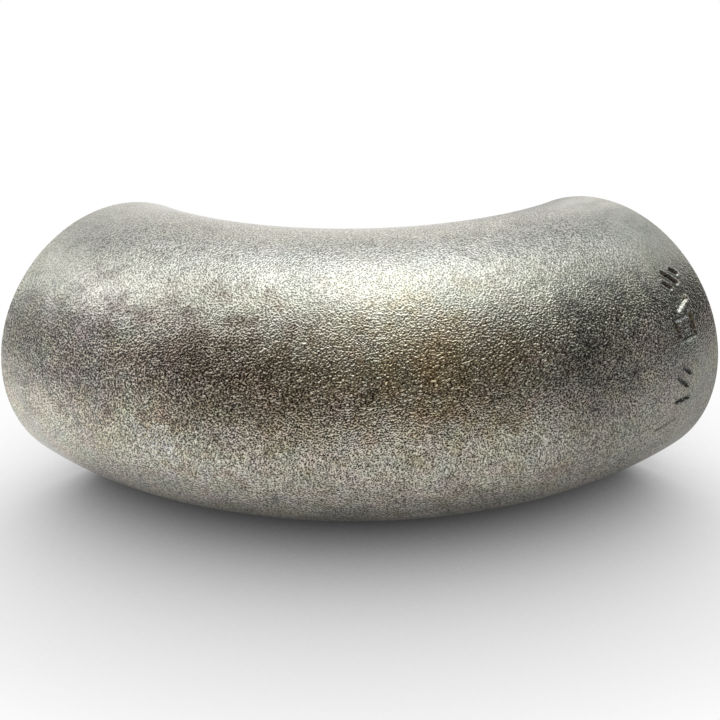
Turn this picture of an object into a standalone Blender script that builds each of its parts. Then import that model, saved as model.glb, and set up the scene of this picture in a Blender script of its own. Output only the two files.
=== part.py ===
"""A 90 degree long-radius butt-weld elbow for pipe of 60.3 mm outside diameter.

It is one piece of stainless steel tube, formed to a bend and machined at both ends for
welding. It lies flat, as it rests on a bench: the bend is in the horizontal plane, its outer
side faces -Y, and the two ends look towards +X and -X.
"""

from math import radians, tan

import bmesh
import bpy
from mathutils import Matrix

# Driving dimensions, in metres and radians
OUTSIDE_DIAMETER = 0.0603
WALL = 0.00391
BEND_RADIUS = 0.0762  # of the centreline, so it is also the distance from each end to the other's axis
BEND_ANGLE = radians(90)
BEVEL_ANGLE = radians(37.5)  # between the weld bevel and the plane of the end
ROOT_FACE = 0.0016  # width of the flat ring between the bevel and the bore

# How finely the curves are divided
SEGMENTS_AROUND = 64
STEPS_ALONG_HALF = 16
SHARP_EDGE_ANGLE = radians(25)
SAME_PLACE = 1e-6  # points closer than this, in metres, count as in one plane

# Shot-blasted and pickled stainless steel
STEEL_COLOUR = (0.50, 0.48, 0.45, 1.0)
STEEL_ROUGHNESS = 0.42

# Worked out from the driving dimensions
OUTER_RADIUS = OUTSIDE_DIAMETER / 2
BORE_RADIUS = OUTER_RADIUS - WALL
ROOT_RADIUS = BORE_RADIUS + ROOT_FACE
BEVEL_DEPTH = (WALL - ROOT_FACE) * tan(BEVEL_ANGLE)


def clear_scene():
    for thing in list(bpy.data.objects):
        bpy.data.objects.remove(thing, do_unlink=True)


def place_on_bend(turn):
    """Moves the XY plane square to the centreline, at this angle from the middle of the bend.

    The centre of the bend is the origin here, and the plane's own Z axis follows the centreline.
    """
    follow_centreline = Matrix.Rotation(radians(90), 4, "Y")
    out_to_centreline = Matrix.Translation((0, -BEND_RADIUS, 0))
    return Matrix.Rotation(turn, 4, "Z") @ out_to_centreline @ follow_centreline


END_CENTRE = place_on_bend(BEND_ANGLE / 2).translation
END_LOOKS = place_on_bend(BEND_ANGLE / 2).col[2].to_3d()


def sweep_skin(bm, radius):
    """Spins a circle from the middle of the bend to its end, and returns the faces that it leaves."""
    faces_before = set(bm.faces)
    circle = bmesh.ops.create_circle(
        bm, segments=SEGMENTS_AROUND, radius=radius, matrix=place_on_bend(0)
    )["verts"]
    ring = {edge for vert in circle for edge in vert.link_edges}
    bmesh.ops.spin(
        bm,
        geom=circle + list(ring),
        cent=(0, 0, 0),
        axis=(0, 0, 1),
        angle=BEND_ANGLE / 2,
        steps=STEPS_ALONG_HALF,
    )
    return [face for face in bm.faces if face not in faces_before]


def open_edges(bm, depth):
    """The open edges of the skins that lie this far behind the plane of the end."""
    return [
        edge
        for edge in bm.edges
        if edge.is_boundary
        and all(
            abs((END_CENTRE - vert.co).dot(END_LOOKS) - depth) < SAME_PLACE
            for vert in edge.verts
        )
    ]


def turn_weld_bevel(bm):
    """Cuts the outer skin square to the end's axis, and tapers it from there to the root face.

    The bend starts right at the end, so the shoulder of the bevel crosses the bend's own rings.
    """
    bmesh.ops.bisect_plane(
        bm,
        geom=bm.verts[:] + bm.edges[:] + bm.faces[:],
        plane_co=END_CENTRE - END_LOOKS * BEVEL_DEPTH,
        plane_no=END_LOOKS,
        clear_outer=True,
    )
    shoulder = open_edges(bm, BEVEL_DEPTH)
    bevel = bmesh.ops.extrude_edge_only(bm, edges=shoulder)["geom"]
    for vert in bevel:
        if isinstance(vert, bmesh.types.BMVert):
            from_axis = vert.co - END_CENTRE
            from_axis -= from_axis.dot(END_LOOKS) * END_LOOKS
            vert.co = END_CENTRE + from_axis.normalized() * ROOT_RADIUS


def build_half():
    """One half of the elbow, open at the middle of the bend, where the other half meets it."""
    bm = bmesh.new()
    sweep_skin(bm, OUTER_RADIUS)
    turn_weld_bevel(bm)
    bore = sweep_skin(bm, BORE_RADIUS)
    bmesh.ops.reverse_faces(bm, faces=bore)
    bmesh.ops.bridge_loops(bm, edges=open_edges(bm, depth=0))
    bmesh.ops.recalc_face_normals(bm, faces=bm.faces)

    mesh = bpy.data.meshes.new("elbow")
    bm.to_mesh(mesh)
    bm.free()
    mesh.shade_smooth()
    mesh.set_sharp_from_angle(angle=SHARP_EDGE_ANGLE)
    return mesh


def steel():
    material = bpy.data.materials.new("blasted_stainless_steel")
    material.use_nodes = True
    shader = material.node_tree.nodes["Principled BSDF"]
    shader.inputs["Base Color"].default_value = STEEL_COLOUR
    shader.inputs["Roughness"].default_value = STEEL_ROUGHNESS
    shader.inputs["Metallic"].default_value = 1.0
    return material


def make_elbow():
    half = build_half()
    half.materials.append(steel())
    elbow = bpy.data.objects.new("elbow", half)
    bpy.context.collection.objects.link(elbow)

    mirror = elbow.modifiers.new("other_half", "MIRROR")
    mirror.use_axis = (True, False, False)
    mirror.merge_threshold = SAME_PLACE

    # It rests on its lowest line, with the origin under the middle of its box.
    across = [vert.co.y for vert in half.vertices]
    elbow.location = (0, -(min(across) + max(across)) / 2, OUTER_RADIUS)


clear_scene()
make_elbow()
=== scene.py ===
# %% [markdown]
# A butt-weld elbow is a short piece of steel tube that turns a pipeline through a right angle.
# This one is stainless steel, formed hot over a mandrel, then shot-blasted and pickled, which
# leaves the dull, leathery grain that gives it its look, and last machined at both ends for welding.
#
# The CAD model already has the exact form, but only in flat facets. Here the same elbow is
# modelled again, finely enough to reflect light as one smooth skin, and finished in three
# surfaces: the blasted outside, the turned weld ends and the duller bore.

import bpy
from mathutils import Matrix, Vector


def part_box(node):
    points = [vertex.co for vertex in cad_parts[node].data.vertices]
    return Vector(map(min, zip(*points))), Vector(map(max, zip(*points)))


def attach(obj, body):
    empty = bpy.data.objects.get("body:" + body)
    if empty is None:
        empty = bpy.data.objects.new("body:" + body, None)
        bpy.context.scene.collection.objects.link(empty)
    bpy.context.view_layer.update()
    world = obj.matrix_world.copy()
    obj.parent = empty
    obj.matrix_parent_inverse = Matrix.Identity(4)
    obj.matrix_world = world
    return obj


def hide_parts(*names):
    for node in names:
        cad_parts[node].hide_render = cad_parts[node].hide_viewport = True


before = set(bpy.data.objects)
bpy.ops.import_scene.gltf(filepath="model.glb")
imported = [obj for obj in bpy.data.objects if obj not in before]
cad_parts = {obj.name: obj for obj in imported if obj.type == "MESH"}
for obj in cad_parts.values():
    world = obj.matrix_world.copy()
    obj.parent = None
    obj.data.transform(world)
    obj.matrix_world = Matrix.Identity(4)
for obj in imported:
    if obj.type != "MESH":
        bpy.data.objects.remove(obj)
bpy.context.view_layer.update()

# %% Modules
from math import atan2, cos, hypot, pi, radians, sin, tan

import bmesh
import bpy
import numpy as np
from mathutils import Matrix, Vector, noise

# %% [markdown]
# Every length below is in metres. The tube's diameter and the bend's place are read from the CAD
# node, so that the fine model can't drift away from it. What can't be read from a box, such as
# the wall and the bevel, is repeated from the design: a 60.3 mm pipe of standard wall.

# %% Sizes of the elbow
MM = 0.001
BEND_RADIUS = 76.2 * MM
BEND_ANGLE = radians(90)
WALL = 3.91 * MM
ROOT_FACE = 1.6 * MM
BEVEL_ANGLE = radians(37.5)

low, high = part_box("elbow")
OUTER_RADIUS = (high.z - low.z) / 2
BEND_CENTRE = Vector((0, low.y + OUTER_RADIUS + BEND_RADIUS, low.z + OUTER_RADIUS))
BORE_RADIUS = OUTER_RADIUS - WALL
ROOT_RADIUS = BORE_RADIUS + ROOT_FACE
BEVEL_DEPTH = (WALL - ROOT_FACE) * tan(BEVEL_ANGLE)
print(f"tube {OUTER_RADIUS / MM:.2f} mm in radius, bend centre {BEND_CENTRE.y / MM:.2f} mm behind the origin")

# %% [markdown]
# A bent tube could be a curve with a round bevel, or a torus with three quarters of it cut away.
# Spinning a circle about the bend's axis is closest to how the real form comes about, and it
# leaves clean rings of quads with no ends to trim. The helper below stands a flat shape square to
# the centreline at any angle of the bend.

# %% Helpers that follow the bend
def place_on_bend(turn):
    """Moves the XY plane square to the centreline, at this angle from the middle of the bend."""
    follow_centreline = Matrix.Rotation(radians(90), 4, "Y")
    out_to_centreline = Matrix.Translation((0, -BEND_RADIUS, 0))
    about_bend_centre = Matrix.Translation(BEND_CENTRE) @ Matrix.Rotation(turn, 4, "Z")
    return about_bend_centre @ out_to_centreline @ follow_centreline


def end_of_bend(side):
    """The centre of the left (-1) or right (1) end, and the direction in which it looks."""
    placed = place_on_bend(side * BEND_ANGLE / 2)
    return placed.translation, side * placed.col[2].to_3d()


def sweep_skin(bm, radius, segments, steps):
    """Spins a circle from one end of the bend to the other, and returns the faces that it leaves."""
    faces_before = set(bm.faces)
    start = place_on_bend(-BEND_ANGLE / 2)
    circle = bmesh.ops.create_circle(bm, segments=segments, radius=radius, matrix=start)["verts"]
    # every edge once, in a fixed order, which a set wouldn't keep
    ring = list(dict.fromkeys(edge for vert in circle for edge in vert.link_edges))
    bmesh.ops.spin(
        bm,
        geom=circle + ring,
        cent=BEND_CENTRE,
        axis=(0, 0, 1),
        angle=BEND_ANGLE,
        steps=steps,
    )
    return [face for face in bm.faces if face not in faces_before]


# %% The outer skin
OUTER_SEGMENTS = 240
OUTER_STEPS = 140
BLASTED, TURNED, BORE = 0, 1, 2  # material slots

bm = bmesh.new()
outer_skin = sweep_skin(bm, OUTER_RADIUS, OUTER_SEGMENTS, OUTER_STEPS)
print(f"outer skin: {len(outer_skin)} faces")

# %% [markdown]
# The weld ends are turned on a lathe after forming. The tool cuts a 37.5 degree bevel and leaves
# a flat ring, the root face, next to the bore. Because the bend begins right at the end, the
# bevel's shoulder can't follow the bend's rings: it lies in a plane parallel to the end. So the
# skin is cut with that plane, and the open edge is pulled in to the root face's outer rim.

# %% Turn the weld bevels
SAME_PLACE = 1e-6


def open_edges(depth, side):
    """The open edges that lie this far behind one end's plane."""
    centre, looks = end_of_bend(side)
    return [
        edge
        for edge in bm.edges
        if edge.is_boundary
        and all(abs((centre - vert.co).dot(looks) - depth) < SAME_PLACE for vert in edge.verts)
    ]


def turn_weld_bevel(side):
    """Cuts one end square, tapers it to the root face, and returns the shoulder's edges."""
    centre, looks = end_of_bend(side)
    bmesh.ops.bisect_plane(
        bm,
        geom=bm.verts[:] + bm.edges[:] + bm.faces[:],
        plane_co=centre - looks * BEVEL_DEPTH,
        plane_no=looks,
        clear_outer=True,
    )
    shoulder = open_edges(BEVEL_DEPTH, side)
    for made in bmesh.ops.extrude_edge_only(bm, edges=shoulder)["geom"]:
        if isinstance(made, bmesh.types.BMVert):
            from_axis = made.co - centre
            from_axis -= from_axis.dot(looks) * looks
            made.co = centre + from_axis.normalized() * ROOT_RADIUS
        elif isinstance(made, bmesh.types.BMFace):
            made.material_index = TURNED
    return shoulder


shoulders = [turn_weld_bevel(side) for side in (-1, 1)]
print(f"shoulders: {[len(edges) for edges in shoulders]} edges")

# %% The bore, and the root faces that join it to the outside
BORE_SEGMENTS = 120
BORE_STEPS = 72

bore = sweep_skin(bm, BORE_RADIUS, BORE_SEGMENTS, BORE_STEPS)
bmesh.ops.reverse_faces(bm, faces=bore)
for face in bore:
    face.material_index = BORE
for side in (-1, 1):
    root_face = bmesh.ops.bridge_loops(bm, edges=open_edges(0, side))["faces"]
    for face in root_face:
        face.material_index = TURNED
bmesh.ops.recalc_face_normals(bm, faces=bm.faces)
print(f"closed elbow: {len(bm.faces)} faces, {sum(edge.is_boundary for edge in bm.edges)} open edges")

# %% [markdown]
# A turned shoulder is filed blunt, so that it doesn't cut the hand. A rounded edge also catches a
# thin line of light, which is how the eye knows that the edge is there.

# %% Round the shoulders
SHOULDER_ROUNDING = 0.25 * MM
SHOULDER_SEGMENTS = 3
ROUND_PROFILE = 0.5

rounded = bmesh.ops.bevel(
    bm,
    geom=[edge for edges in shoulders for edge in edges if edge.is_valid],
    offset=SHOULDER_ROUNDING,
    offset_type="OFFSET",
    segments=SHOULDER_SEGMENTS,
    profile=ROUND_PROFILE,
    affect="EDGES",
    clamp_overlap=True,
    material=-1,
)
print(f"rounded shoulders: {len(rounded['faces'])} faces")

# %% [markdown]
# Beside the right-hand end the real fitting carries a row of punched marks. Here they are plain
# geometric punches that spell nothing. A punch is only a millimetre wide, so the skin is
# subdivided where the row runs, and left as it is everywhere else.

# %% Refine the skin under the punch marks
MARKS_NEAR = 5.5 * MM  # the row lies this far from the end's plane, measured along the skin
MARKS_FAR = 20 * MM
MARKS_TOP = 26.5 * MM  # the row's two ends, measured round the tube from its outermost line
MARKS_BOTTOM = -17 * MM
MARKS_CUTS = 4


def on_bend(point):
    """Where a point lies on the bent tube.

    Returns the angle along the bend, the distance from the bend's axis, the angle round the tube
    and the distance from the tube's centre.
    """
    across = point - BEND_CENTRE
    from_axis = hypot(across.x, across.y)
    turn = atan2(across.x, -across.y)
    section = atan2(across.z, from_axis - BEND_RADIUS)
    radius = hypot(across.z, from_axis - BEND_RADIUS)
    return turn, from_axis, section, radius


def marks_place(point):
    """How far a point lies from the right-hand end, and how far round the tube, both in metres."""
    turn, from_axis, section, _ = on_bend(point)
    return (BEND_ANGLE / 2 - turn) * from_axis, section * OUTER_RADIUS


def under_marks(face):
    from_end, around = marks_place(face.calc_center_median())
    return MARKS_NEAR < from_end < MARKS_FAR and MARKS_BOTTOM < around < MARKS_TOP


patch = [face for face in bm.faces if face.material_index == BLASTED and under_marks(face)]
bmesh.ops.subdivide_edges(
    bm,
    edges=list(dict.fromkeys(edge for face in patch for edge in face.edges)),
    cuts=MARKS_CUTS,
    use_grid_fill=True,
)
print(f"patch under the marks: {len(patch)} faces, elbow now {len(bm.faces)}")

# %% [markdown]
# Each mark is a few straight strokes: bars in ones, twos and threes, one square and two dots.
# They have the rhythm of stamped figures and say nothing.
# The punch leaves a groove with sloping sides and pushes a low burr up along its edges. Most
# grooves are painted darker, as painted shade, and one is left bright.

# %% The punch marks
def outline(sides, size, lean):
    """The strokes of a regular outline of this size across its corners, in mm, centred on the mark."""
    turns = [lean + 2 * pi * k / sides for k in range(sides + 1)]
    corners = [Vector((sin(turn), cos(turn))) * size / 2 for turn in turns]
    return list(zip(corners[:-1], corners[1:]))


def bar(length, lean):
    """One straight stroke."""
    half = Vector((sin(lean), cos(lean))) * length / 2
    return [(-half, half)]


DOT = bar(0.1, 0)
PUNCH_MARKS = (
    # mm from the end, mm round the tube, share of the full depth, painted shade in it, strokes
    (9.7, 22.8, 1.0, 1.0, bar(3.8, lean=radians(37))),
    (11.4, 21.5, 0.9, 0.9, bar(2.0, lean=radians(37))),
    (7.7, 23.7, 0.8, 0.9, bar(1.6, lean=radians(37))),
    (9.9, 17.0, 1.1, 0.0, bar(3.6, lean=radians(-64))),
    (11.0, 12.3, 0.9, 0.55, outline(4, 6.4, lean=radians(48))),
    (11.0, 12.3, 0.9, 0.7, DOT),
    (12.2, 3.7, 1.0, 0.9, bar(2.4, lean=radians(50))),
    (13.4, 1.5, 1.1, 0.9, bar(3.6, lean=radians(50))),
    (12.9, -2.7, 0.8, 0.8, bar(3.8, lean=radians(90))),
    (16.2, -7.8, 0.6, 0.5, bar(6.0, lean=radians(100))),
    (13.9, -11.0, 0.7, 0.6, DOT),
    (13.1, -15.0, 0.6, 0.4, bar(3.8, lean=radians(95))),
)
GROOVE_HALF_WIDTH = 0.52  # mm
GROOVE_DEPTH = 0.48
BURR_HEIGHT = 0.08
BURR_FROM_STROKE = 1.2 * GROOVE_HALF_WIDTH
BURR_WIDTH = 0.35 * GROOVE_HALF_WIDTH
DIRT = (0.90, 0.85, 0.76)  # how much darker the most shaded groove is painted, in red, green and blue
DIRTY_FROM = 0.5  # the share of a groove's depth below which it holds all of its painted shade


def distance_to_stroke(from_end, around, stroke):
    """The distance of each point, given as two arrays, from one stroke."""
    a, b = stroke
    run = b - a
    share = np.clip(((from_end - a.x) * run.x + (around - a.y) * run.y) / run.length_squared, 0, 1)
    return np.hypot(from_end - a.x - share * run.x, around - a.y - share * run.y)


def punch(from_end, around):
    """Depth of the marks at each point in mm, negative on a burr, and the share of painted shade in them."""
    depth = np.zeros_like(from_end)
    dirt = np.zeros_like(from_end)
    for mark_from_end, mark_around, strength, dirtiness, strokes in PUNCH_MARKS:
        along, up = from_end - mark_from_end, around - mark_around
        near = np.min([distance_to_stroke(along, up, stroke) for stroke in strokes], axis=0)
        inside = np.clip(1 - near / GROOVE_HALF_WIDTH, 0, 1)
        burr = np.exp(-(((near - BURR_FROM_STROKE) / BURR_WIDTH) ** 2))
        pressed = strength * (GROOVE_DEPTH * inside - BURR_HEIGHT * burr)
        depth = np.where(np.abs(depth) > np.abs(pressed), depth, pressed)
        # painted shade, full on the deeper part of each groove
        dirt = np.maximum(dirt, dirtiness * np.clip(inside / DIRTY_FROM, 0, 1))
    return depth, dirt


# %% [markdown]
# Forming and pickling leave the steel cloudy. Along its outer side this elbow has darker patches,
# purple-brown on the left and bluish on the right, and a few dark spots no bigger than a grain of
# rice. The same table holds blots of painted light and shade: paler blots above and below the
# stains are painted light, darker ones on the upper side are painted shade that dims the highlight,
# and dark ones on the underside are painted shadow. A texture can't put them in their places, so
# each is a soft blot in the table below, and every vertex of the skin stores what share of red,
# green and blue the blots leave it.

# %% Stains, spots, and painted light and shade
STAINS = (
    # angle along the bend and round the tube in degrees, radius in mm, and the share of the colour
    # that stays: below 1 in a stain or a blot of painted shade, above 1 in a blot of painted light
    # the stains along the middle of the outer side; the one above 1 is painted light
    (-41, 24, 12.0, (0.56, 0.56, 0.55)),
    (-31, 24, 9.0, (0.69, 0.65, 0.69)),
    (-19, 27, 10.0, (0.61, 0.53, 0.54)),
    (-11, 25, 8.0, (0.62, 0.54, 0.49)),
    (-15, 17, 9.0, (0.77, 0.73, 0.68)),
    (-5, 20, 9.0, (0.80, 0.73, 0.65)),
    (5, 22, 7.0, (0.93, 0.88, 0.82)),
    (9, 29, 8.0, (1.13, 1.04, 0.89)),
    (11, 18, 5.0, (0.82, 0.79, 0.74)),
    (14, 25, 8.0, (0.82, 0.79, 0.74)),
    (17, 17, 6.0, (0.87, 0.86, 0.84)),
    (24, 19, 6.0, (0.60, 0.62, 0.65)),
    (28, 26, 8.0, (0.74, 0.74, 0.76)),
    (26, 10, 7.0, (0.86, 0.87, 0.88)),
    (38, 18, 8.0, (0.77, 0.77, 0.84)),
    # painted shade on the upper side, which dims the highlight
    (-27, 85, 12.0, (0.84, 0.84, 0.83)),
    (-32, 62, 9.0, (0.88, 0.88, 0.87)),
    (-17, 60, 9.0, (0.80, 0.80, 0.78)),
    (-4, 59, 8.0, (0.85, 0.85, 0.86)),
    (9, 60, 8.0, (0.85, 0.85, 0.86)),
    (22, 62, 9.0, (0.82, 0.82, 0.81)),
    (31, 72, 14.0, (0.66, 0.67, 0.68)),
    # painted shadow on the underside
    (-13, -45, 9.0, (0.70, 0.69, 0.66)),
    (0, -47, 12.0, (0.54, 0.53, 0.50)),
    (14, -42, 12.0, (0.49, 0.48, 0.46)),
    # painted light: paler blots above and below the stains
    (-30, 45, 9.0, (1.29, 1.29, 1.32)),
    (3, 40, 10.0, (1.20, 1.19, 1.15)),
    (22, 45, 7.0, (1.22, 1.22, 1.22)),
    (35, 46, 7.0, (1.12, 1.12, 1.10)),
    (-35, -12, 9.0, (1.10, 1.10, 1.09)),
    (-21, -3, 10.0, (1.36, 1.36, 1.31)),
    (-23, 7, 5.0, (1.14, 1.13, 1.11)),
    (-7, -3, 8.0, (1.12, 1.12, 1.09)),
    (4, -4, 7.0, (1.08, 1.08, 1.05)),
    (12, -1, 7.0, (1.16, 1.16, 1.13)),
    (17, -9, 10.0, (1.20, 1.20, 1.17)),
    (34, -9, 11.0, (1.28, 1.28, 1.27)),
    # the dark spots
    (-26.9, 4.9, 1.3, (0.45, 0.28, 0.26)),
    (-8.9, -27.8, 1.1, (0.45, 0.45, 0.44)),
    (1.5, 20, 1.5, (0.45, 0.42, 0.38)),
    (25.6, 29, 1.4, (0.50, 0.52, 0.58)),
    (30.8, 14, 1.3, (0.42, 0.40, 0.52)),
    (-16.4, 32, 1.6, (0.50, 0.42, 0.46)),
    (-37, 19, 1.2, (0.45, 0.42, 0.40)),
)
RAGGED_COARSE = (3.5 * MM, 0.9)  # how far apart the bays in a blot's edge are, and how deep
RAGGED_FINE = (1.3 * MM, 0.5)
LEAST_RAGGED = 0.55  # so that no bay reaches far outside its blot
STAIN_DEPTH = 1.45  # makes up for the crests, which the stains and the painted light and shade spare


def colour_left_by_stains(turn, from_axis, section, points):
    """The share of red, green and blue that the stains and the painted light and shade leave at each point.
    All are arrays.
    """
    bays = [
        sum(depth * noise.noise(point / apart) for apart, depth in (RAGGED_COARSE, RAGGED_FINE))
        for point in points
    ]
    ragged = np.maximum(1 + np.array(bays), LEAST_RAGGED)
    colour = np.ones((len(points), 3))
    for along, around, radius, stays in STAINS:
        distance = np.hypot((turn - radians(along)) * from_axis, (section - radians(around)) * OUTER_RADIUS)
        cover = np.exp(-((ragged * distance / (radius * MM)) ** 2))
        colour *= 1 + (np.array(stays) - 1) * cover[:, None]
    return colour**STAIN_DEPTH


# %% [markdown]
# A formed elbow is never perfectly round. Its skin wanders by up to an eighth of a millimetre,
# which is too little to see in the outline but bends the edges of every reflection. Each vertex
# of the outer skin is moved along the tube's radius. The wander goes only inwards, so the elbow
# doesn't grow past its CAD model. Only the burrs beside the marks may stand a hair proud of it.
#
# The stains, the blots of painted light and shade and the painted shade in the marks are worked out
# first, from where the vertices were.

# %% Let the skin wander, and press the marks into it
WANDER_SLOW = (22 * MM, 0.10 * MM)  # how far apart the swellings are, and how deep
WANDER_FAST = (6 * MM, 0.025 * MM)
CALM = "calm"  # how far the grain is flattened
UPPER_SIDE = "upper_side"
# stains together with painted light and shade, per vertex
STAIN = "stain"
FROM_AXIS = "from_axis"  # on the turned faces, the distance from the lathe's axis

calm_layer = bm.verts.layers.float.new(CALM)
upper_side_layer = bm.verts.layers.float.new(UPPER_SIDE)
stain_layer = bm.verts.layers.float_vector.new(STAIN)
from_axis_layer = bm.verts.layers.float.new(FROM_AXIS)

skin = [vert for vert in bm.verts if on_bend(vert.co)[3] > OUTER_RADIUS - SHOULDER_ROUNDING]
places = [on_bend(vert.co) for vert in skin]
from_right_end, around_tube = np.array([marks_place(vert.co) for vert in skin]).T / MM
depths, dirt = punch(from_right_end, around_tube)
depths *= MM
turns, distances, sections, _ = np.array(places).T
colours = colour_left_by_stains(turns, distances, sections, [vert.co for vert in skin])
# painted shade in the grooves of the marks
colours *= 1 - dirt[:, None] * DIRT

for vert, (turn, _, section, radius), depth in zip(skin, places, depths):
    wander = sum(
        size * (1 + noise.noise(vert.co / apart)) / 2 for apart, size in (WANDER_SLOW, WANDER_FAST)
    )
    new_radius = radius - wander - depth
    out = BEND_RADIUS + new_radius * cos(section)
    vert.co = BEND_CENTRE + Vector((out * sin(turn), -out * cos(turn), new_radius * sin(section)))
print(f"moved {len(skin)} vertices, deepest mark {depths.max() / MM:.2f} mm")

# %% [markdown]
# The materials have to know more than where a point lies. The grain is calmer beside the ends, on
# the upper side, and on the floors of the marks, where the punch pressed it flat. And the lathe's
# rings need the distance from its axis. Every vertex stores these beside its stains and its painted
# light and shade.

# %% What the materials read from the skin
CALM_AT_LEFT_END = 0.6
CALM_AT_RIGHT_END = 0.85
CALM_BAND = 4 * MM  # wholly calm up to here from the end
CALM_FADES_OVER = 20 * MM
CALM_IN_MARKS = 0.8
PRESSED_FLAT = 0.25 * GROOVE_DEPTH * MM  # from this depth on
UPPER_SIDE_FROM = radians(15)  # above the tube's outermost line
UPPER_SIDE_OVER = radians(45)


def smooth_step(x):
    x = min(1, max(0, x))
    return x * x * (3 - 2 * x)


for vert in bm.verts:
    vert[stain_layer] = (1, 1, 1)
for vert, (turn, from_axis, section, _), depth, colour in zip(skin, places, depths, colours):
    from_end = (BEND_ANGLE / 2 - abs(turn)) * from_axis
    near_end = 1 - smooth_step((from_end - CALM_BAND) / CALM_FADES_OVER)
    calm_at_end = CALM_AT_RIGHT_END if turn > 0 else CALM_AT_LEFT_END
    vert[calm_layer] = max(calm_at_end * near_end, CALM_IN_MARKS * smooth_step(depth / PRESSED_FLAT))
    vert[upper_side_layer] = smooth_step((section - UPPER_SIDE_FROM) / UPPER_SIDE_OVER)
    vert[stain_layer] = colour
turned_faces = [face for face in bm.faces if face.material_index == TURNED]
for face in turned_faces:
    centre, looks = end_of_bend(1 if face.calc_center_median().x > 0 else -1)
    for vert in face.verts:
        from_centre = vert.co - centre
        vert[from_axis_layer] = (from_centre - from_centre.dot(looks) * looks).length
print(f"stored for {len(skin)} vertices of the skin and {len(turned_faces)} turned faces")

# %% The finished mesh
SHARP_ANGLE = radians(35)

mesh = bpy.data.meshes.new("elbow_skin")
bm.to_mesh(mesh)
bm.free()
elbow = bpy.data.objects.new("elbow_skin", mesh)
bpy.context.collection.objects.link(elbow)
mesh.shade_smooth()
mesh.set_sharp_from_angle(angle=SHARP_ANGLE)
mesh.calc_loop_triangles()
print(f"elbow: {len(mesh.vertices)} vertices, {len(mesh.loop_triangles)} triangles")

# %% [markdown]
# Materials are node trees. A few helpers add the nodes, so that each finish below reads as a
# recipe from top to bottom. Colours are written as sRGB hex values, as a colour picker shows
# them, and one function turns them into the linear values that Blender wants.

# %% Helpers for materials
WHITE = (1, 1, 1, 1)


def linear(hex_colour):
    """The linear colour of an sRGB hex value such as C3BFB2."""
    srgb = [int(hex_colour[i : i + 2], 16) / 255 for i in (0, 2, 4)]
    return [c / 12.92 if c <= 0.04045 else ((c + 0.055) / 1.055) ** 2.4 for c in srgb] + [1.0]


def add_node(tree, kind, inputs=None, **settings):
    """Adds one node. An input's value is a number, a colour or vector, or another node's output."""
    node = tree.nodes.new(kind)
    for name, value in settings.items():
        setattr(node, name, value)
    for socket, value in (inputs or {}).items():
        if isinstance(value, bpy.types.NodeSocket):
            tree.links.new(value, node.inputs[socket])
        else:
            node.inputs[socket].default_value = value
    return node


def calculate(tree, operation, *values):
    """The result of one sum, on numbers or other nodes' outputs."""
    return add_node(tree, "ShaderNodeMath", dict(enumerate(values)), operation=operation).outputs[0]


def calculate_vector(tree, operation, *values):
    """The result of the same sum on each of the three parts of vectors or colours."""
    return add_node(tree, "ShaderNodeVectorMath", dict(enumerate(values)), operation=operation).outputs[0]


def map_range(tree, value, old=(0.0, 1.0), new=(0.0, 1.0), **settings):
    """Carries a value over from an old range to a new one, and stops at the new one's ends."""
    inputs = {"Value": value, "From Min": old[0], "From Max": old[1], "To Min": new[0], "To Max": new[1]}
    return add_node(tree, "ShaderNodeMapRange", inputs, **settings).outputs[0]


def mix_colours(tree, share, a, b):
    """The colour that lies this share of the way from a to b."""
    mix = add_node(tree, "ShaderNodeMix", {"Factor": share, "A": a, "B": b}, data_type="RGBA")
    return mix.outputs["Result"]


def add_noise(tree, place, apart, detail=2.0):
    """A cloudy texture whose swellings lie about this far apart."""
    return add_node(tree, "ShaderNodeTexNoise", {"Vector": place, "Scale": 1 / apart, "Detail": detail})


def read_from_skin(tree, name):
    """What the vertices store under this name."""
    return add_node(tree, "ShaderNodeAttribute", attribute_name=name).outputs


def empty_material(name):
    """A material with nothing in its node tree, and that tree."""
    material = bpy.data.materials.new(name)
    material.use_nodes = True
    material.node_tree.nodes.clear()
    return material, material.node_tree


def finish_metal(tree, colour, roughness, height, strength=1.0):
    """Ends a tree as bare metal with this colour, roughness and relief. The height is in metres."""
    bump = add_node(tree, "ShaderNodeBump", {"Strength": strength, "Distance": 1.0, "Height": height})
    shader = add_node(
        tree,
        "ShaderNodeBsdfPrincipled",
        {"Metallic": 1.0, "Base Color": colour, "Roughness": roughness, "Normal": bump.outputs["Normal"]},
    )
    add_node(tree, "ShaderNodeOutputMaterial", {"Surface": shader.outputs["BSDF"]})


# %% [markdown]
# Stainless steel reflects a little over half of the light, slightly more of red than of blue.
# Shot-blasting covers it with overlapping dimples, under half a millimetre apart, and with finer
# grit between them. Each dimple mirrors another part of the room, and that, not paint, makes the
# sparkle. The pits keep a little oxide, and their colour is also darkened as painted shade, for the
# shadow that a bump can't cast, so they are darker than the crests.
#
# The stains, and the painted light and shade that share their table, lie in the pits too, and
# spare part of the crests. Where the skin is calm, and on its upper side, both the relief and the
# play of dark and bright are weaker.

# %% Blasted and pickled stainless steel
SHOT = 0.37 * MM  # between the middles of neighbouring dimples
SHOT_DEPTH = 0.180 * MM
RIM_SOFTNESS = 0.3  # where two dimples meet
GRIT = 0.28 * MM
GRIT_DEPTH = 0.10 * MM
PIT_LEVEL = 0.049 * MM  # heights up to this have the colour of the pits
CREST_LEVEL = 0.117 * MM  # and from this on that of the crests
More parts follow.
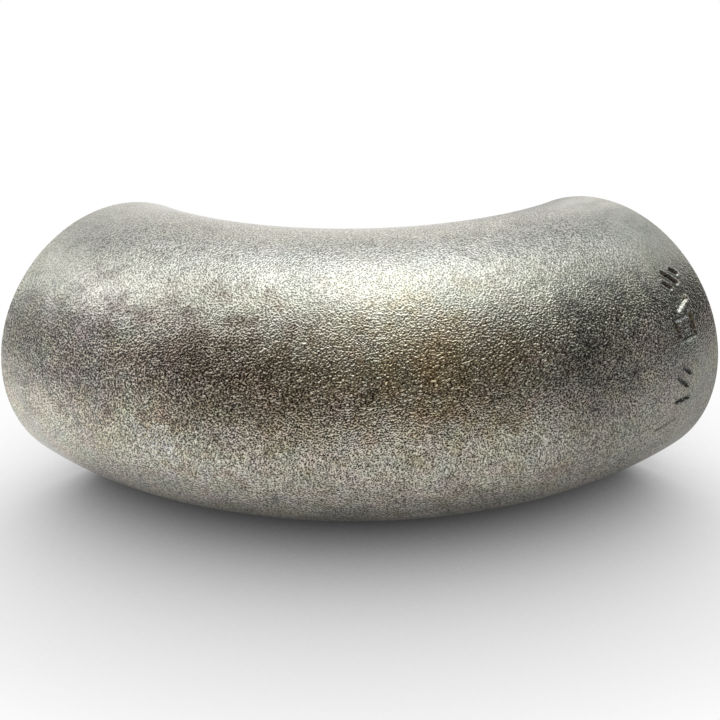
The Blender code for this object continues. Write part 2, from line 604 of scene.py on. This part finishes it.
# the pits' colour: a little oxide, and painted shade for the shadow that a bump can't cast
PITS = "1C1914"
CRESTS = "F6F0E0"
CALM_STEEL = "CAC8BD"
CALM_GRAIN = 0.35  # the share of the grain that is left where the steel is calmest
UPPER_SIDE_EASE = 0.38  # the share of the relief that is left on the upper side
UPPER_SIDE_PLAINNESS = 0.38  # the share of the play of dark and bright that it loses
UPPER_SIDE_FADING = 0.75  # and of the mottling
BLASTED_ROUGHNESS = 0.25
MOTTLING = 5 * MM
MOTTLING_STRENGTH = (0.26, 0.18, 0.30)  # red, green, blue
MOTTLING_FLOOR = [1 - x / 2 for x in MOTTLING_STRENGTH]  # so that the mottling's average is white
CRESTS_SPARED = 0.42  # the share of the stains and the painted light and shade that the highest crests are free of
CLOUDS = 20 * MM
CLOUD_RANGE = (0.3, 0.7)  # between these values lies most of a noise
CLOUD_SHADES = (0.92, 1.08)
BRIGHTEST = (0.97, 0.97, 0.97)  # no steel reflects more


def blasted_relief(tree, place):
    """The height of the dimpled skin, and the same as a level from 0 in the pits to 1 on the crests."""
    dimples = add_node(
        tree,
        "ShaderNodeTexVoronoi",
        {"Vector": place, "Scale": 1 / SHOT, "Smoothness": RIM_SOFTNESS},
        feature="SMOOTH_F1",
    )
    round_bottomed = calculate(tree, "POWER", dimples.outputs["Distance"], 2.0)
    dimple_height = calculate(tree, "MULTIPLY", round_bottomed, SHOT_DEPTH)
    grit = add_noise(tree, place, GRIT, detail=0.0)
    height = calculate(tree, "MULTIPLY_ADD", grit.outputs["Fac"], GRIT_DEPTH, dimple_height)
    return height, map_range(tree, height, old=(PIT_LEVEL, CREST_LEVEL))


def mottled(tree, place, upper_side):
    """A faint play of tints, weaker on the upper side."""
    mottling = add_noise(tree, place, MOTTLING).outputs["Color"]
    tint = calculate_vector(tree, "MULTIPLY_ADD", mottling, MOTTLING_STRENGTH, MOTTLING_FLOOR)
    fading = map_range(tree, upper_side, new=(0.0, UPPER_SIDE_FADING))
    return mix_colours(tree, fading, tint, WHITE)


def blasted_steel():
    material, tree = empty_material("stainless_steel_shot_blasted")
    place = add_node(tree, "ShaderNodeTexCoord").outputs["Object"]
    calm = read_from_skin(tree, CALM)["Fac"]
    upper_side = read_from_skin(tree, UPPER_SIDE)["Fac"]
    stain = read_from_skin(tree, STAIN)["Vector"]

    height, level = blasted_relief(tree, place)
    grain_left = map_range(tree, calm, new=(1.0, CALM_GRAIN))
    eased = map_range(tree, upper_side, new=(1.0, UPPER_SIDE_EASE))
    relief_left = calculate(tree, "MULTIPLY", grain_left, eased)

    # pits darker by oxide and painted shade, crests bright
    grain = mix_colours(tree, level, linear(PITS), linear(CRESTS))
    play_left = calculate(tree, "MULTIPLY_ADD", upper_side, -UPPER_SIDE_PLAINNESS, grain_left)
    clean = mix_colours(tree, play_left, linear(CALM_STEEL), grain)
    tinted = calculate_vector(tree, "MULTIPLY", clean, mottled(tree, place, upper_side))
    spared = calculate(tree, "MULTIPLY", level, CRESTS_SPARED)
    # the stains and the painted light and shade, sparing part of the crests
    stained = calculate_vector(tree, "MULTIPLY", tinted, mix_colours(tree, spared, stain, WHITE))
    clouds = add_noise(tree, place, CLOUDS)
    shade = map_range(tree, clouds.outputs["Fac"], CLOUD_RANGE, CLOUD_SHADES)
    clouded = add_node(tree, "ShaderNodeVectorMath", {0: stained, "Scale": shade}, operation="SCALE")
    colour = calculate_vector(tree, "MINIMUM", clouded.outputs[0], BRIGHTEST)
    finish_metal(tree, colour, BLASTED_ROUGHNESS, height, relief_left)
    return material


elbow.data.materials.append(blasted_steel())

# %% [markdown]
# The weld ends are cut after blasting, so they are the only bright, clean steel on the elbow. The
# tool leaves a fine thread of rings about the pipe's axis. They are drawn from the distance to
# that axis, which each vertex of the turned faces stores: a sine gives the tool's steady feed, and
# a noise along the same distance the bands where it cut a little brighter or duller.

# %% Turned steel of the weld ends
TOOL_FEED = 0.22 * MM
TOOL_DEPTH = 0.012 * MM
TOOL_BANDS = 0.7 * MM
CHATTER = 2 * MM
CHATTER_SHIFT = 3.0  # how far the chatter shifts the rings, where 2 pi is one ring
TURNED_PATCHES = 5 * MM
TURNED_LEVELS = (0.75, 1.25)  # the range of bands and patches added up that the two colours span
TURNED_DULL = "A9A59C"
TURNED_BRIGHT = "E2DFD8"
TURNED_ROUGHNESS = (0.22, 0.38)


def turned_steel():
    material, tree = empty_material("stainless_steel_turned")
    place = add_node(tree, "ShaderNodeTexCoord").outputs["Object"]
    from_axis = read_from_skin(tree, FROM_AXIS)["Fac"]

    chatter = add_noise(tree, place, CHATTER).outputs["Fac"]
    feed = calculate(tree, "MULTIPLY", from_axis, 2 * pi / TOOL_FEED)
    rings = calculate(tree, "SINE", calculate(tree, "MULTIPLY_ADD", chatter, CHATTER_SHIFT, feed))
    height = calculate(tree, "MULTIPLY", rings, TOOL_DEPTH)

    bands = add_node(
        tree,
        "ShaderNodeTexNoise",
        {"W": calculate(tree, "MULTIPLY", from_axis, 1 / TOOL_BANDS), "Scale": 1.0, "Detail": 3.0},
        noise_dimensions="1D",
    )
    patches = add_noise(tree, place, TURNED_PATCHES, detail=3.0).outputs["Fac"]
    both = calculate(tree, "ADD", bands.outputs["Fac"], patches)
    level = map_range(tree, both, old=TURNED_LEVELS)
    colour = mix_colours(tree, level, linear(TURNED_DULL), linear(TURNED_BRIGHT))
    finish_metal(tree, colour, map_range(tree, patches, new=TURNED_ROUGHNESS), height)
    return material


elbow.data.materials.append(turned_steel())

# %% [markdown]
# Shot doesn't reach far into a bend, so the bore keeps the skin that the mandrel and the acid
# left: a dull grey with a finer, flatter grain, cloudy where the acid dried.

# %% Pickled steel of the bore
PICKLED_GRAIN = 0.35 * MM
PICKLED_DEPTH = 0.05 * MM
DRIED_ACID = 7 * MM
PICKLED_LEVELS = (0.7, 1.3)  # the range of grain and clouds added up that the two colours span
PICKLED_DARK = "77736A"
PICKLED_PALE = "B4B0A6"
PICKLED_ROUGHNESS = (0.36, 0.56)


def pickled_steel():
    material, tree = empty_material("stainless_steel_pickled")
    place = add_node(tree, "ShaderNodeTexCoord").outputs["Object"]
    grain = add_noise(tree, place, PICKLED_GRAIN, detail=1.0).outputs["Fac"]
    height = calculate(tree, "MULTIPLY", grain, PICKLED_DEPTH)
    clouds = add_noise(tree, place, DRIED_ACID, detail=4.0).outputs["Fac"]
    level = map_range(tree, calculate(tree, "ADD", grain, clouds), old=PICKLED_LEVELS)
    colour = mix_colours(tree, level, linear(PICKLED_DARK), linear(PICKLED_PALE))
    finish_metal(tree, colour, map_range(tree, clouds, new=PICKLED_ROUGHNESS), height)
    return material


elbow.data.materials.append(pickled_steel())
print("materials:", [material.name for material in elbow.data.materials])

# %% Tie the elbow to its CAD model
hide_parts("elbow")
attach(elbow, "root")

# %% [markdown]
# The floor is white. Seen by the camera it is plain white, darkened only where the elbow keeps
# the light out. Seen in the steel it is the same white as a painted pool of light, which fades a
# hand's width away from the elbow, and its right-hand side lies in painted shade.

# %% The floor
FLOOR_SIZE = 8.0
FLOOR_PAINT = "F0EEEA"  # for the light that it throws back
SHADOW_REACH = 60 * MM
SHADOW_DEPTH = 1.35
SHADOW_SAMPLES = 16
CARD_EDGE = -100 * MM  # how far in front of the origin the painted pool of light ends
CARD_TURN = radians(14)
CARD_EDGE_SOFTNESS = 30 * MM
SHADE_FROM = 20 * MM  # the shade deepens from here to there along X
SHADE_TO = 90 * MM
SHADE_LEVEL = 0.4


def card_brightness(tree):
    """How bright the floor is as a painted pool of light that ends softly in front, with painted shade on the
    right.
    """
    place = add_node(tree, "ShaderNodeNewGeometry").outputs["Position"]
    across = (sin(CARD_TURN), cos(CARD_TURN), 0)
    behind_edge = add_node(tree, "ShaderNodeVectorMath", {0: place, 1: across}, operation="DOT_PRODUCT")
    card = map_range(
        tree,
        behind_edge.outputs["Value"],
        old=(CARD_EDGE - CARD_EDGE_SOFTNESS / 2, CARD_EDGE + CARD_EDGE_SOFTNESS / 2),
        interpolation_type="SMOOTHSTEP",
    )
    along = add_node(tree, "ShaderNodeSeparateXYZ", {0: place})
    shade = map_range(
        tree,
        along.outputs["X"],
        old=(SHADE_FROM, SHADE_TO),
        new=(1.0, SHADE_LEVEL),
        interpolation_type="SMOOTHSTEP",
    )
    return calculate(tree, "MULTIPLY", card, shade)


def floor_material():
    material, tree = empty_material("white_floor")
    ray = add_node(tree, "ShaderNodeLightPath").outputs
    open_to_light = add_node(
        tree, "ShaderNodeAmbientOcclusion", {"Distance": SHADOW_REACH}, samples=SHADOW_SAMPLES
    )
    shadow = calculate(tree, "POWER", open_to_light.outputs["AO"], SHADOW_DEPTH)
    # the camera sees plain white, the steel sees the painted pool of light
    brightness = calculate(tree, "MAXIMUM", card_brightness(tree), ray["Is Camera Ray"])
    in_shadow = calculate(tree, "MULTIPLY", brightness, shadow)
    white = add_node(tree, "ShaderNodeEmission", {"Strength": in_shadow})
    lit = add_node(tree, "ShaderNodeBsdfDiffuse", {"Color": linear(FLOOR_PAINT)})
    seen = calculate(tree, "MAXIMUM", ray["Is Camera Ray"], ray["Is Glossy Ray"])
    seen_or_through = calculate(tree, "MAXIMUM", seen, ray["Is Transmission Ray"])
    mix = add_node(
        tree, "ShaderNodeMixShader", {0: seen_or_through, 1: lit.outputs[0], 2: white.outputs[0]}
    )
    add_node(tree, "ShaderNodeOutputMaterial", {"Surface": mix.outputs[0]})
    return material


floor_mesh = bpy.data.meshes.new("floor")
floor_bm = bmesh.new()
bmesh.ops.create_grid(floor_bm, x_segments=1, y_segments=1, size=FLOOR_SIZE / 2)
floor_bm.to_mesh(floor_mesh)
floor_bm.free()
floor = bpy.data.objects.new("floor", floor_mesh)
bpy.context.collection.objects.link(floor)
floor.data.materials.append(floor_material())
print(f"floor: {FLOOR_SIZE:.0f} m wide")

# %% [markdown]
# The studio is dark but for a few soft glows: a softbox overhead, a wide strip beyond it, light
# from the right, a window on the left and the warm room behind the camera. Beyond the elbow stands
# a white backdrop. The steel shows that backdrop, and the camera sees it whichever way it looks.
# The dim side behind the camera is what draws the dark band along the middle of the tube.

# %% The studio
GLOWS = (
    # elevation and azimuth in degrees, sharpness, colour
    # azimuth 0 is beyond the elbow, 90 at its right
    (84, 0, 9, (1.29, 1.35, 1.27)),
    (65, 0, 10, (0.91, 0.97, 1.15)),
    (62, 60, 9, (0.50, 0.53, 0.51)),
    (38, -85, 11, (1.30, 1.35, 1.38)),
    (5, 180, 4, (0.250, 0.200, 0.150)),
)
BACKDROP_SIDES = (0.25, 0.55)  # it fades in between these shares of straight ahead
BACKDROP_TOP = (0.45, 0.62)  # and fades out between these shares of straight up
BACKDROP = "FFFFFF"


def towards(elevation, azimuth):
    elevation, azimuth = radians(elevation), radians(azimuth)
    return Vector((cos(elevation) * sin(azimuth), cos(elevation) * cos(azimuth), sin(elevation)))


def all_glows(tree, direction):
    """The light from this direction. Each glow is brightest at its middle and falls off all round."""
    light = (0, 0, 0)
    for elevation, azimuth, sharpness, colour in GLOWS:
        aim = towards(elevation, azimuth)
        aligned = add_node(tree, "ShaderNodeVectorMath", {0: direction, 1: aim}, operation="DOT_PRODUCT")
        away = calculate(tree, "MULTIPLY_ADD", aligned.outputs["Value"], sharpness, -sharpness)
        light = calculate_vector(tree, "MULTIPLY_ADD", calculate(tree, "EXPONENT", away), colour, light)
    return light


def backdrop_cover(tree, direction):
    """1 where the backdrop stands, 0 beside and above it."""
    parts = add_node(tree, "ShaderNodeSeparateXYZ", {0: direction})
    ahead = map_range(tree, parts.outputs["Y"], BACKDROP_SIDES, interpolation_type="SMOOTHSTEP")
    below_top = map_range(
        tree, parts.outputs["Z"], BACKDROP_TOP, new=(1.0, 0.0), interpolation_type="SMOOTHSTEP"
    )
    return calculate(tree, "MULTIPLY", ahead, below_top)


def studio_world():
    world = bpy.data.worlds.new("studio")
    bpy.context.scene.world = world
    world.use_nodes = True
    tree = world.node_tree
    tree.nodes.clear()
    direction = add_node(tree, "ShaderNodeTexCoord").outputs["Generated"]
    ray = add_node(tree, "ShaderNodeLightPath").outputs
    in_metal_or_glass = calculate(tree, "MAXIMUM", ray["Is Glossy Ray"], ray["Is Transmission Ray"])
    mirrored = calculate(tree, "MULTIPLY", backdrop_cover(tree, direction), in_metal_or_glass)
    shown = calculate(tree, "MAXIMUM", ray["Is Camera Ray"], mirrored)
    seen = mix_colours(tree, shown, all_glows(tree, direction), linear(BACKDROP))
    background = add_node(tree, "ShaderNodeBackground", {"Color": seen, "Strength": 1.0})
    add_node(tree, "ShaderNodeOutputWorld", {"Surface": background.outputs[0]})


studio_world()
print(f"studio: {len(GLOWS)} glows and a backdrop")

# %% [markdown]
# The camera stands close, about 20 cm from the elbow, and looks down at 26 degrees. So near a
# camera draws the middle of the bend larger than its ends.

# %% The camera
LOOK_AT = Vector((0.48 * MM, BEND_CENTRE.y - BEND_RADIUS, BEND_CENTRE.z + 3.37 * MM))
CAMERA_DISTANCE = 242.5 * MM  # from the point that it looks at
CAMERA_ELEVATION = 0.4600  # this angle and the next two are in radians
CAMERA_TURN = 0.0216
CAMERA_ROLL = -0.0205
FOCAL_LENGTH_MM = 58.92
SENSOR_WIDTH_MM = 36.0
NEAREST_SEEN = 0.01

camera_data = bpy.data.cameras.new("camera")
camera_data.lens = FOCAL_LENGTH_MM
camera_data.sensor_width = SENSOR_WIDTH_MM
camera_data.clip_start = NEAREST_SEEN
camera = bpy.data.objects.new("camera", camera_data)
bpy.context.collection.objects.link(camera)
camera.matrix_world = (
    Matrix.Translation(LOOK_AT)
    @ Matrix.Rotation(CAMERA_TURN, 4, "Z")
    @ Matrix.Rotation(radians(90) - CAMERA_ELEVATION, 4, "X")
    @ Matrix.Translation((0, 0, CAMERA_DISTANCE))
    @ Matrix.Rotation(CAMERA_ROLL, 4, "Z")
)
bpy.context.scene.camera = camera
bpy.context.scene.view_settings.view_transform = "Standard"
print(f"camera {CAMERA_DISTANCE / MM:.0f} mm away, with a {FOCAL_LENGTH_MM} mm lens")
